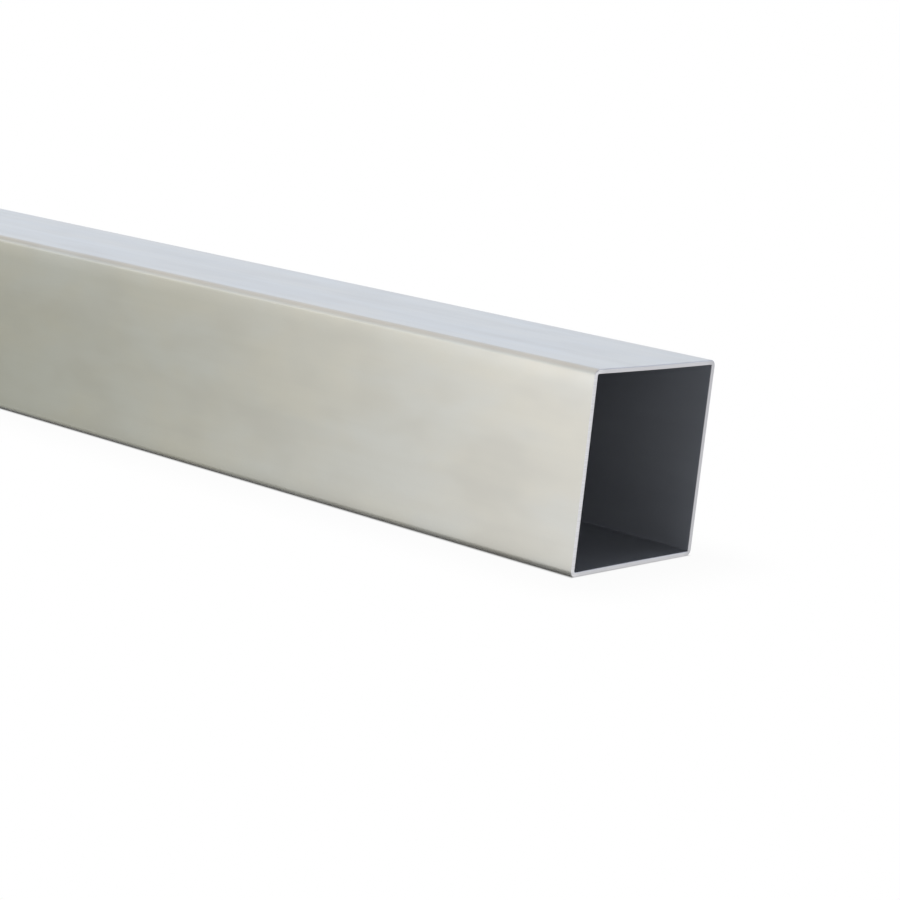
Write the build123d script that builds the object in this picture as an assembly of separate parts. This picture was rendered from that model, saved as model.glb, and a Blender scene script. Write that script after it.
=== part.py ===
from build123d import *
import os

# Square hollow section: stainless strip rolled square, seam welded and cut to length.
# Millimetres. X runs along the tube, Z is up, and the origin is the middle of the underside.

# The section
side = 50.0                # outside width and height
wall = 1.2                 # thickness of the strip
inside_bend_radius = 0.5   # inside radius of the four rolled corners

# The cut length and its sawn ends
length = 1000.0
end_break = 0.2            # chamfer that deburring leaves on the edges of both ends

# The weld seam, ground flush outside and left as a low bead inside
bead_width = 2.0
bead_height = 0.25         # how far the bead stands up from the inside of the wall
bead_root = 0.3            # how deep the bead is fused into the wall


def box_section():
    """The wall's outline, seen along the tube: a rounded square with a rounded square hollow."""
    opening = side - 2 * wall
    outline = RectangleRounded(side, side, inside_bend_radius + wall)
    return outline - RectangleRounded(opening, opening, inside_bend_radius)


def sawn_length():
    """The section run to the full cut length, with both ends deburred inside and out."""
    blank = extrude(Plane.YZ * box_section(), length / 2, both=True)
    end_faces = blank.faces().filter_by(Axis.X)
    return chamfer(end_faces.edges(), end_break)


def weld_bead():
    """The inside of the seam: a low rounded ridge on the middle of the front wall."""
    half_width = bead_width / 2
    with BuildSketch(Plane.YZ) as profile:
        with BuildLine():
            left = (0, -half_width)
            right = (0, half_width)
            ThreePointArc(left, (bead_height, 0), right)
            Polyline(right, (-bead_root, half_width), (-bead_root, -half_width), left)
        make_face()
    inside_of_front_wall = wall - side / 2
    ridge = extrude(profile.sketch, length / 2 - end_break, both=True)
    return Pos(0, inside_of_front_wall, 0) * ridge


def square_tube():
    """One welded tube, lying on its underside."""
    return Pos(0, 0, side / 2) * (sawn_length() + weld_bead())


os.makedirs("parts", exist_ok=True)
tube = square_tube()
tube.label = "tube"
export_step(tube, "parts/tube.step")
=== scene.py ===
"""A square steel tube on a pale floor in a light tent: satin outside, mill finish inside, sawn ends."""
import math

import bmesh
import bpy
from mathutils import Matrix, Vector, noise


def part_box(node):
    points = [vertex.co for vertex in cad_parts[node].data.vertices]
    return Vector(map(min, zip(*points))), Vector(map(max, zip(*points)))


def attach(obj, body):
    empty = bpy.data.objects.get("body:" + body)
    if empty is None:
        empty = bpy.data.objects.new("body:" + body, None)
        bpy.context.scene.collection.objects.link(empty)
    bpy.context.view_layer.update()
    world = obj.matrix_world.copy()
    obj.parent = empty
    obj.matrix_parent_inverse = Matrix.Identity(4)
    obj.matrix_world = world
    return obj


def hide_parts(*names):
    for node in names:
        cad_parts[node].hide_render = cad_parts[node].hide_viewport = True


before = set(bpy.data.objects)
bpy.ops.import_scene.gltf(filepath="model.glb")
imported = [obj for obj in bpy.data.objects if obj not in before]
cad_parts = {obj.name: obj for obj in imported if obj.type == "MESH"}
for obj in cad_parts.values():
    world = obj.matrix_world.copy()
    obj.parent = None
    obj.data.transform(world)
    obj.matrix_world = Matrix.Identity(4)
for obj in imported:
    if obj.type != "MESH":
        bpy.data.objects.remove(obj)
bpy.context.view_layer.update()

# The tube, in metres. X runs along it and Z is up.
LOW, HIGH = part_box("tube")
MIDDLE = (LOW + HIGH) / 2
LENGTH = HIGH.x - LOW.x
SIDE = HIGH.z - LOW.z
WALL = 0.0012
INSIDE_RADIUS = 0.0005
OUTSIDE_RADIUS = INSIDE_RADIUS + WALL
HALF_FLAT = SIDE / 2 - OUTSIDE_RADIUS       # from the middle of an outside face to its rolled corner
END_BREAK = 0.0002                          # the chamfer along the edges of each end

# The weld bead on the inside of the front wall
BEAD_WIDTH = 0.002
BEAD_HEIGHT = 0.00025
BEAD_START = 1.5 * END_BREAK                # how far from each end it reaches its full height

# How finely the walls are divided, so that they can be slightly uneven
CORNER_STEPS = 12
BREAK_STEPS = 2
BEAD_STEPS = 8
STATIONS = 125
STRIPS = 12

# How uneven they are
HOLLOW = 0.00006                            # how far the middle of an outside face lies inside the square
WAVE = 0.00005                              # the depth of the slow waves left by the rolls
WAVES_ALONG = 11                            # waves to the metre
WAVES_ACROSS = 45

# What counts as the same place or plane, in metres, and as an edge
SAME_PLACE = 1e-6
SAME_PLANE = 1e-7
RIM_CORNER = 1.0                            # the least angle between a rim and a wall, in radians
SHARP_EDGE = math.radians(20)

# Material slots of the tube
SATIN, MILL, SAWN = range(3)


# --- shader nodes as expressions ---

class Value:
    """One output of a shader node. Arithmetic on it adds Math nodes."""

    def __init__(self, tree, output=None):
        self.tree = tree
        self.output = output

    def add(self, kind, settings=None, sockets=None):
        """Adds a node with its settings and with the values or links of its sockets."""
        node = self.tree.nodes.new(kind)
        for name, setting in (settings or {}).items():
            setattr(node, name, setting)
        for name, value in (sockets or {}).items():
            if isinstance(value, Value):
                self.tree.links.new(value.output, node.inputs[name])
            else:
                node.inputs[name].default_value = value
        return Value(self.tree, node.outputs[0] if node.outputs else None)

    def part(self, name):
        """Another output of the same node."""
        return Value(self.tree, self.output.node.outputs[name])

    def math(self, operation, *values):
        return self.add("ShaderNodeMath", {"operation": operation}, dict(enumerate(values)))

    def __add__(self, other):
        return self.math("ADD", self, other)

    def __sub__(self, other):
        return self.math("SUBTRACT", self, other)

    def __mul__(self, other):
        return self.math("MULTIPLY", self, other)

    def __rsub__(self, other):
        return self.math("SUBTRACT", other, self)

    __radd__ = __add__
    __rmul__ = __mul__

    def smooth(self, low, high):
        """Rises smoothly from 0 at low to 1 at high."""
        return self.add("ShaderNodeMapRange", {"interpolation_type": "SMOOTHSTEP"},
                        {"Value": self, "From Min": low, "From Max": high})

    def swing(self, amount):
        """Runs over amount, half below 0 and half above, while this runs from 0 to 1."""
        return (self - 0.5) * amount

    def band(self, rise, fall):
        """1 between two changes, each a pair of low and high, and 0 outside them."""
        return self.smooth(*rise) - self.smooth(*fall)

    def axes(self):
        """X, Y and Z of this vector."""
        split = self.add("ShaderNodeSeparateXYZ", {}, {"Vector": self})
        return [split.part(axis) for axis in "XYZ"]

    def blend(self, colour, other):
        """Colour where this is 0, other where it is 1."""
        mixed = self.add("ShaderNodeMix", {"data_type": "RGBA"}, {0: self, 6: colour, 7: other})
        return mixed.part(2)

    def mix(self, shader, other):
        """Shader where this is 0, other where it is 1."""
        return self.add("ShaderNodeMixShader", {}, {0: self, 1: shader, 2: other})


def new_material(name):
    """A material with no nodes yet, and the value from which they are added."""
    material = bpy.data.materials.new(name)
    material.use_nodes = True
    material.node_tree.nodes.clear()
    return material, Value(material.node_tree)


def show(start, shader):
    """Makes a shader the surface of its material."""
    start.add("ShaderNodeOutputMaterial", {}, {"Surface": shader})


def object_place(start):
    """The place of a point on its own piece, in metres."""
    return start.add("ShaderNodeTexCoord").part("Object")


def glow(start, colour):
    return start.add("ShaderNodeEmission", {}, {"Color": colour, "Strength": 1.0})


def opaque(colour):
    return (*colour, 1)


# --- the tube's mesh ---

def faces_endways(face):
    """Whether a face looks along the tube, as the rims and their chamfers do."""
    return abs(face.normal.x) > 0.3


def on_station(edge, x):
    return all(abs(vert.co.x - x) < SAME_PLACE for vert in edge.verts)


def cut(bm, point, normal):
    """Divides every face that a plane crosses."""
    everything = bm.verts[:] + bm.edges[:] + bm.faces[:]
    bmesh.ops.bisect_plane(bm, geom=everything, plane_co=point, plane_no=normal, dist=SAME_PLANE)


def sleeve(bm, width, radius):
    """A square sleeve as long as the tube, its long edges rounded and its ends open; returns its faces."""
    before = set(bm.edges) | set(bm.faces)
    made = bmesh.ops.create_cube(bm, size=1.0)
    place = Matrix.Translation(MIDDLE) @ Matrix.Diagonal((LENGTH, width, width, 1))
    bmesh.ops.transform(bm, matrix=place, verts=made["verts"])
    long_edges = [edge for edge in bm.edges if edge not in before
                  and abs(edge.verts[0].co.x - edge.verts[1].co.x) > LENGTH / 2]
    caps = [face for face in bm.faces if face not in before and faces_endways(face)]
    bmesh.ops.delete(bm, geom=caps, context="FACES_ONLY")
    bmesh.ops.bevel(bm, geom=long_edges, offset=radius, offset_type="OFFSET", segments=CORNER_STEPS,
                    profile=0.5, affect="EDGES", material=-1)
    return [face for face in bm.faces if face not in before]


def cut_strips(bm):
    """Divides the flat walls lengthwise into strips, finer across the weld bead."""
    for step in range(1, STRIPS):
        offset = HALF_FLAT * (2 * step / STRIPS - 1)
        cut(bm, MIDDLE + Vector((0, offset, 0)), (0, 1, 0))
        cut(bm, MIDDLE + Vector((0, 0, offset)), (0, 0, 1))
    for step in range(BEAD_STEPS + 1):
        offset = BEAD_WIDTH * (step / BEAD_STEPS - 0.5)
        cut(bm, MIDDLE + Vector((0, 0, offset)), (0, 0, 1))


def close_ends(bm):
    """Joins the outside to the inside with a flat rim at each end, and breaks its edges."""
    for x in (LOW.x, HIGH.x):
        rim = [edge for edge in bm.edges if edge.is_boundary and on_station(edge, x)]
        bmesh.ops.bridge_loops(bm, edges=rim)
    bm.normal_update()
    corners = [edge for edge in bm.edges if edge.calc_face_angle(0) > RIM_CORNER
               and (on_station(edge, LOW.x) or on_station(edge, HIGH.x))]
    bmesh.ops.bevel(bm, geom=corners, offset=END_BREAK, offset_type="OFFSET", segments=BREAK_STEPS,
                    profile=0.5, affect="EDGES", material=SAWN)


def cut_stations(bm):
    """Divides the tube crosswise, with one cut close to each end where the weld bead stops."""
    for step in range(1, STATIONS):
        cut(bm, Vector((LOW.x + LENGTH * step / STATIONS, 0, 0)), (1, 0, 0))
    for x in (LOW.x + BEAD_START, HIGH.x - BEAD_START):
        cut(bm, Vector((x, 0, 0)), (1, 0, 0))


def name_faces(bm):
    """Gives the rims, the inside and the outside their material slots."""
    mid_wall = SIDE / 2 - WALL / 2
    for face in bm.faces:
        centre = face.calc_center_median() - MIDDLE
        if faces_endways(face):
            face.material_index = SAWN
        elif max(abs(centre.y), abs(centre.z)) < mid_wall:
            face.material_index = MILL
        else:
            face.material_index = SATIN


def raise_bead(bm):
    """Lifts the weld bead from the inside of the front wall."""
    inside = LOW.y + WALL
    for vert in bm.verts:
        across = (vert.co.z - MIDDLE.z) / (BEAD_WIDTH / 2)
        on_wall = abs(vert.co.y - inside) < SAME_PLACE and abs(across) < 1
        from_end = LENGTH / 2 - abs(vert.co.x - MIDDLE.x)
        if on_wall and from_end > BEAD_START - SAME_PLACE:
            vert.co.y += BEAD_HEIGHT * (1 - across * across)


def uneven_walls(bm):
    """Bows each wall slightly inwards and adds the slow waves that the rolls leave."""
    for vert in bm.verts:
        place = vert.co - MIDDLE
        wall, other = (1, 2) if abs(place.y) > abs(place.z) else (2, 1)
        middle_share = max(0.0, 1 - (place[other] / (SIDE / 2)) ** 2)
        spot = Vector((place.x * WAVES_ALONG, place.y * WAVES_ACROSS, place.z * WAVES_ACROSS))
        wave = 0.5 + 0.5 * noise.noise(spot)
        depth = middle_share * (HOLLOW + WAVE * wave)
        vert.co[wall] -= math.copysign(depth, place[wall])


def tube_mesh():
    bm = bmesh.new()
    sleeve(bm, SIDE, OUTSIDE_RADIUS)
    lining = sleeve(bm, SIDE - 2 * WALL, INSIDE_RADIUS)
    bmesh.ops.reverse_faces(bm, faces=lining)
    cut_strips(bm)
    close_ends(bm)
    cut_stations(bm)
    bm.normal_update()
    name_faces(bm)
    raise_bead(bm)
    uneven_walls(bm)
    bmesh.ops.recalc_face_normals(bm, faces=bm.faces)
    for face in bm.faces:
        face.smooth = True
    mesh = bpy.data.meshes.new("square_tube")
    bm.to_mesh(mesh)
    bm.free()
    mesh.set_sharp_from_angle(angle=SHARP_EDGE)
    return mesh


def make_tube():
    mesh = tube_mesh()
    for material in (satin_outside(), mill_inside(), sawn_rim()):
        mesh.materials.append(material)
    tube = bpy.data.objects.new("square_tube", mesh)
    bpy.context.scene.collection.objects.link(tube)
    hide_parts("tube")
    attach(tube, "root")


# --- its finishes ---

SATIN_WARM = (0.672, 0.656, 0.602)
SATIN_COOL = (0.656, 0.657, 0.630)
SATIN_DARK = (0.604, 0.593, 0.554)          # in the streaks and hazes
STREAK_SHARE = 0.35
HAZE_SHARE = 0.5
SATIN_ROUGHNESS = 0.33
ROLLED_DULLNESS = 0.12                      # what the rolled corners add to the roughness
ROLLED_EDGE = (HALF_FLAT - 0.0003, HALF_FLAT + 0.0002)      # where the flat turns into the corner
GRAIN_DEPTH = 0.000004

MILL_PALE = (0.318, 0.335, 0.373)
MILL_DARK = (0.291, 0.306, 0.344)
MILL_ROUGHNESS = 0.70
MILL_BARE = 0.5                             # the share of bare metal
MILL_FILM = 0.4                             # the share under a thin gloss
FILM_ROUGHNESS = 0.2
DRAWN_DEPTH = 0.000006

# The rim's colour is lighter towards the front wall, a painted highlight, and darker towards the back
# wall, painted shade; in between it has its own tone.
SAWN_FRONT_PAINTED_HIGHLIGHT = (0.72, 0.72, 0.74)
SAWN_BETWEEN = (0.62, 0.62, 0.64)
SAWN_BACK_PAINTED_SHADE = (0.51, 0.51, 0.53)
SAWN_GROOVE = (0.52, 0.52, 0.54)
GROOVE_SHARE = 0.5
PAINTED_HIGHLIGHT_REACH = (LOW.y + WALL, LOW.y + 0.004)     # where the painted highlight on the front wall's rim fades out
PAINTED_SHADE_REACH = (HIGH.y - 0.004, HIGH.y - WALL)    # where the painted shade on the back wall's rim fades in
SAWN_ROUGHNESS = 0.30
SAWN_DEPTH = 0.000005
SAW_SLANT = math.radians(14)
SAW_LINES = (1, 150, 6000)                  # features to the metre in depth, along and across the lines


def stretched_noise(start, place, along, across, detail):
    """Noise drawn out along the tube; along and across are its features to the metre."""
    scaled = start.add("ShaderNodeMapping", {"vector_type": "POINT"},
                       {"Vector": place, "Scale": (along, across, across)})
    return start.add("ShaderNodeTexNoise", {}, {"Vector": scaled, "Scale": 1.0, "Detail": detail})


def relief(start, height, depth):
    """Fine relief of the surface; depth is in metres, where height is 1."""
    return start.add("ShaderNodeBump", {}, {"Height": height, "Distance": depth, "Strength": 1.0})


def metal(start, colour, roughness, normal, bare=1.0, film=0.0):
    """Bare is how much of the surface is bare metal, not dull skin. Film is a thin gloss over both."""
    shader = start.add("ShaderNodeBsdfPrincipled", {}, {
        "Base Color": colour, "Metallic": bare, "Roughness": roughness, "Normal": normal,
        "Coat Weight": film, "Coat Roughness": FILM_ROUGHNESS})
    show(start, shader)


def satin_outside():
    """Satin strip: fine lengthwise grain, soft streaks, faint clouding, and duller rolled corners."""
    material, start = new_material("satin_outside")
    place = object_place(start)
    grain = stretched_noise(start, place, along=25, across=3500, detail=2.0)
    streaks = stretched_noise(start, place, along=7, across=160, detail=4.0)
    clouds = stretched_noise(start, place, along=30, across=60, detail=3.0)
    hazes = stretched_noise(start, place, along=41, across=82, detail=2.0)
    tint = clouds.smooth(0.35, 0.65).blend(opaque(SATIN_WARM), opaque(SATIN_COOL))
    dark = streaks.smooth(0.3, 0.7) * STREAK_SHARE + hazes.smooth(0.4, 0.7) * HAZE_SHARE
    colour = dark.blend(tint, opaque(SATIN_DARK))
    _, y, z = place.axes()
    off_middle = start.math("MINIMUM", start.math("ABSOLUTE", y), start.math("ABSOLUTE", z - MIDDLE.z))
    dullness = off_middle.smooth(*ROLLED_EDGE) * ROLLED_DULLNESS
    roughness = SATIN_ROUGHNESS + streaks.swing(0.08) + clouds.swing(0.06) + dullness
    metal(start, colour, roughness, relief(start, grain * 0.6 + streaks * 2.0, GRAIN_DEPTH))
    return material


def mill_inside():
    """Mill finish: a dull grey skin with drawing lines and soft clouding, shiny only at a low angle."""
    material, start = new_material("mill_inside")
    place = object_place(start)
    lines = stretched_noise(start, place, along=10, across=1500, detail=3.0)
    clouds = stretched_noise(start, place, along=18, across=60, detail=4.0)
    colour = clouds.smooth(0.3, 0.7).blend(opaque(MILL_PALE), opaque(MILL_DARK))
    roughness = MILL_ROUGHNESS + clouds.swing(0.1)
    metal(start, colour, roughness, relief(start, lines, DRAWN_DEPTH), bare=MILL_BARE, film=MILL_FILM)
    return material


def sawn_rim():
    """Sawn ends: bright, with fine straight saw lines; lighter at the front and darker at the back, as a
    painted highlight and painted shade.
    """
    material, start = new_material("sawn_rim")
    place = object_place(start)
    turned = start.add("ShaderNodeMapping", {"vector_type": "POINT"}, {
        "Vector": place, "Rotation": (SAW_SLANT, 0, 0), "Scale": SAW_LINES})
    lines = start.add("ShaderNodeTexNoise", {}, {"Vector": turned, "Scale": 1.0, "Detail": 2.0})
    _, y, _ = place.axes()
    # Painted shade towards the back wall's rim, then a painted highlight on the front wall's rim
    back_with_painted_shade = y.smooth(*PAINTED_SHADE_REACH).blend(opaque(SAWN_BETWEEN), opaque(SAWN_BACK_PAINTED_SHADE))
    rim_with_painted_light = y.smooth(*PAINTED_HIGHLIGHT_REACH).blend(opaque(SAWN_FRONT_PAINTED_HIGHLIGHT), back_with_painted_shade)
    colour = (lines.smooth(0.3, 0.7) * GROOVE_SHARE).blend(rim_with_painted_light, opaque(SAWN_GROOVE))
    roughness = SAWN_ROUGHNESS + lines.swing(0.1)
    metal(start, colour, roughness, relief(start, lines, SAWN_DEPTH))
    return material


# --- the studio ---

def stage_mesh(name, bm, material):
    """A floor, tent or card: it isn't part of the object."""
    mesh = bpy.data.meshes.new(name)
    bm.to_mesh(mesh)
    bm.free()
    mesh.materials.append(material)
    thing = bpy.data.objects.new(name, mesh)
    bpy.context.scene.collection.objects.link(thing)
    return thing


def stage_sheet(name, place, size, material):
    """A flat sheet that the camera doesn't see. Size is its width and depth before it is placed."""
    bm = bmesh.new()
    bmesh.ops.create_grid(bm, x_segments=1, y_segments=1, size=0.5)
    bmesh.ops.transform(bm, matrix=place @ Matrix.Diagonal((*size, 1, 1)), verts=bm.verts)
    sheet = stage_mesh(name, bm, material)
    sheet.visible_camera = False
    return sheet


TENT_RADIUS = 3.0
TENT_BACK = (0.88, 0.95, 1.08)
TENT_LEFT = (0.20, 0.19, 0.16)
TENT_FRONT = (0.98, 1.04, 1.10)
TENT_HORIZON = (1.60, 1.56, 1.40)           # the low band in front
TENT_RIGHT = (1.35, 1.35, 1.35)             # the panel beyond the near end, higher at the front
TENT_SHADE = (0.40, 0.40, 0.40)             # above that panel, up to the light from overhead
TENT_OVERHEAD = (0.92, 0.90, 0.90)

# Where they change, in degrees: turned to the right from straight in front, or up from the floor.
# Each pair is where one change begins and ends.
HORIZON_TURN = ((-50, -40), (5, 20))
HORIZON_TOP = (7, 15)
LEFT_TURN = (-72, -58)
FRONT_TURN = ((-120, -100), (120, 140))
OVERHEAD_RISE = (28, 44)
PANEL_TOP = (8, 14)
HIGH_PANEL_TURN = ((35, 50), (70, 85))
HIGH_PANEL_TOP = (22, 30)
RIGHT_TURN = ((10, 30), (120, 140))


def tent_colour(start):
    """The tent's light by direction: dim at the left, cool behind, shaded beyond the near end."""
    way = start.add("ShaderNodeVectorMath", {"operation": "NORMALIZE"}, {0: object_place(start)})
    x, y, z = way.axes()
    turn = start.math("ARCTAN2", x, 0 - y) * math.degrees(1)
    rise = start.math("ARCSINE", z) * math.degrees(1)
    overhead = rise.smooth(*OVERHEAD_RISE)
    horizon = turn.band(*HORIZON_TURN) * (1 - rise.smooth(*HORIZON_TOP))
    front = horizon.blend(opaque(TENT_FRONT), opaque(TENT_HORIZON))
    low = turn.smooth(*LEFT_TURN).blend(opaque(TENT_LEFT), front)
    low = turn.band(*FRONT_TURN).blend(opaque(TENT_BACK), low)
    colour = overhead.blend(low, opaque(TENT_OVERHEAD))
    high_panel = turn.band(*HIGH_PANEL_TURN) * (1 - rise.smooth(*HIGH_PANEL_TOP))
    panel = start.math("MAXIMUM", high_panel, 1 - rise.smooth(*PANEL_TOP))
    right = turn.band(*RIGHT_TURN) * (1 - overhead)
    return right.blend(colour, panel.blend(opaque(TENT_SHADE), opaque(TENT_RIGHT)))


def light_tent():
    """A dome of soft light round the whole set."""
    material, start = new_material("light_tent")
    show(start, glow(start, tent_colour(start)))
    bm = bmesh.new()
    bmesh.ops.create_uvsphere(bm, u_segments=64, v_segments=32, radius=TENT_RADIUS)
    tent = stage_mesh("light_tent", bm, material)
    material.cycles.emission_sampling = "NONE"
    tent.visible_camera = False


SOFTBOX_LIGHT = (2.60, 2.55, 2.55)
SOFTBOX_SIZE = (0.24, 0.12)
SOFTBOX_CENTRE = (HIGH.x - 0.24, LOW.y - 0.5, 0.06)


def softbox():
    """A low softbox in front of the near end; only the side towards the tube glows."""
    material, start = new_material("softbox")
    facing_away = start.add("ShaderNodeNewGeometry").part("Backfacing")
    clear = start.add("ShaderNodeBsdfTransparent")
    show(start, facing_away.mix(glow(start, opaque(SOFTBOX_LIGHT)), clear))
    upright = Matrix.Rotation(math.radians(-90), 4, "X")
    stage_sheet("softbox", Matrix.Translation(SOFTBOX_CENTRE) @ upright, SOFTBOX_SIZE, material)


FLAG_BLACK = (0.02, 0.02, 0.02)
FLAG_SIZE = (0.33, 0.4)
FLAG_CENTRE = (HIGH.x + 0.185, 0, 0.17)


def flag():
    """A black sheet above the near end, which keeps the light from overhead out of the bore."""
    material, start = new_material("flag")
    show(start, start.add("ShaderNodeBsdfDiffuse", {}, {"Color": opaque(FLAG_BLACK)}))
    stage_sheet("flag", Matrix.Translation(FLAG_CENTRE), FLAG_SIZE, material)


CARD_GREY = (0.44, 0.45, 0.39)
CARD_PAST_END = 0.5                         # how far it runs on beyond the far end
CARD_WIDTH = 0.5
CARD_HEIGHT = 0.0005
CARD_FADE = (HIGH.x - 0.256, HIGH.x + 0.09)     # where it fades out, beside the tube
CARD_SLANT = 0.8                            # how far its fading edge moves left for each metre in front


def grey_card():
    """A card flat on the floor in front of the tube, fading out to the right. Only the metal sees it."""
    material, start = new_material("grey_card")
    x, y, _ = object_place(start).axes()
    fade = (x - (y - LOW.y) * CARD_SLANT).smooth(*CARD_FADE)
    clear = start.add("ShaderNodeBsdfTransparent")
    show(start, fade.mix(glow(start, opaque(CARD_GREY)), clear))
    place = Matrix.Translation((-CARD_PAST_END / 2, LOW.y - CARD_WIDTH / 2, CARD_HEIGHT))
    card = stage_sheet("grey_card", place, (LENGTH + CARD_PAST_END, CARD_WIDTH), material)
    card.visible_diffuse = False
    card.visible_shadow = False


FLOOR_RADIUS = TENT_RADIUS * 0.99
FLOOR_GREY = (0.50, 0.50, 0.50)
FLOOR_WHITE = 0.96                          # how much of the floor's look is white close to the tube
WHITE = (1.0, 1.0, 1.0)

# Where the floor turns white, in metres beyond the tube's ends or its foot
END_CLEAR = (-0.0008, 0.0004)
VIEW_CLEAR = (0, 0.0022)
METAL_CLEAR = (0.002, 0.008)
FAR_CLEAR = (0, 0.03)


def floor_white(start):
    """How white the floor looks: less so close to the tube, and over a wider strip in reflections."""
    x, y, _ = object_place(start).axes()
    beyond_end = start.math("ABSOLUTE", x) - LENGTH / 2
    beyond_foot = start.math("MAXIMUM", start.math("ABSOLUTE", y) - HALF_FLAT, 0.0)
    clear_end = start.math("MAXIMUM", beyond_end, 0.0)
    apart = start.math("SQRT", clear_end * clear_end + beyond_foot * beyond_foot)
    rays = start.add("ShaderNodeLightPath")
    seen = rays.part("Is Camera Ray")
    mirrored = start.math("MINIMUM", rays.part("Is Glossy Ray") + rays.part("Is Transmission Ray"), 1.0)
    past_end = beyond_end.smooth(*END_CLEAR)
    in_view = start.math("MAXIMUM", past_end, beyond_foot.smooth(*VIEW_CLEAR))
    in_metal = start.math("MAXIMUM", past_end, beyond_foot.smooth(*METAL_CLEAR))
    near = seen * in_view + mirrored * in_metal
    far = (seen + mirrored) * apart.smooth(*FAR_CLEAR)
    return near * FLOOR_WHITE + far * (1 - FLOOR_WHITE)


def floor():
    """A pale disc, plain white but for the shadow close to the tube."""
    material, start = new_material("floor")
    matt = start.add("ShaderNodeBsdfDiffuse", {}, {"Color": opaque(FLOOR_GREY)})
    show(start, floor_white(start).mix(matt, glow(start, opaque(WHITE))))
    bm = bmesh.new()
    bmesh.ops.create_circle(bm, cap_ends=True, segments=128, radius=FLOOR_RADIUS)
    stage_mesh("floor", bm, material)


def white_world():
    world = bpy.data.worlds.new("white")
    world.use_nodes = True
    background = world.node_tree.nodes["Background"]
    background.inputs["Color"].default_value = opaque(WHITE)
    background.inputs["Strength"].default_value = 1.0
    bpy.context.scene.world = world


# The camera looks at the front side near the right-hand end.
AIM = Vector((HIGH.x - 0.04059, LOW.y, 0.02258))
DISTANCE = 0.5698
AZIMUTH = math.radians(39.02)
ELEVATION = math.radians(10.637)
ROLL = math.radians(6.268)
LENS = 93.31


def camera():
    data = bpy.data.cameras.new("camera")
    data.lens = LENS
    data.sensor_width = 36
    data.clip_start = 0.01
    cam = bpy.data.objects.new("camera", data)
    bpy.context.scene.collection.objects.link(cam)
    away = Vector((math.sin(AZIMUTH) * math.cos(ELEVATION), -math.cos(AZIMUTH) * math.cos(ELEVATION),
                   math.sin(ELEVATION)))
    facing = (-away).to_track_quat("-Z", "Y").to_matrix().to_4x4()
    cam.rotation_mode = "QUATERNION"
    cam.rotation_quaternion = (facing @ Matrix.Rotation(ROLL, 4, "Z")).to_quaternion()
    cam.location = AIM + away * DISTANCE
    bpy.context.scene.camera = cam


make_tube()
light_tent()
softbox()
flag()
grey_card()
floor()
white_world()
camera()

bpy.context.scene.view_settings.view_transform = "Standard"
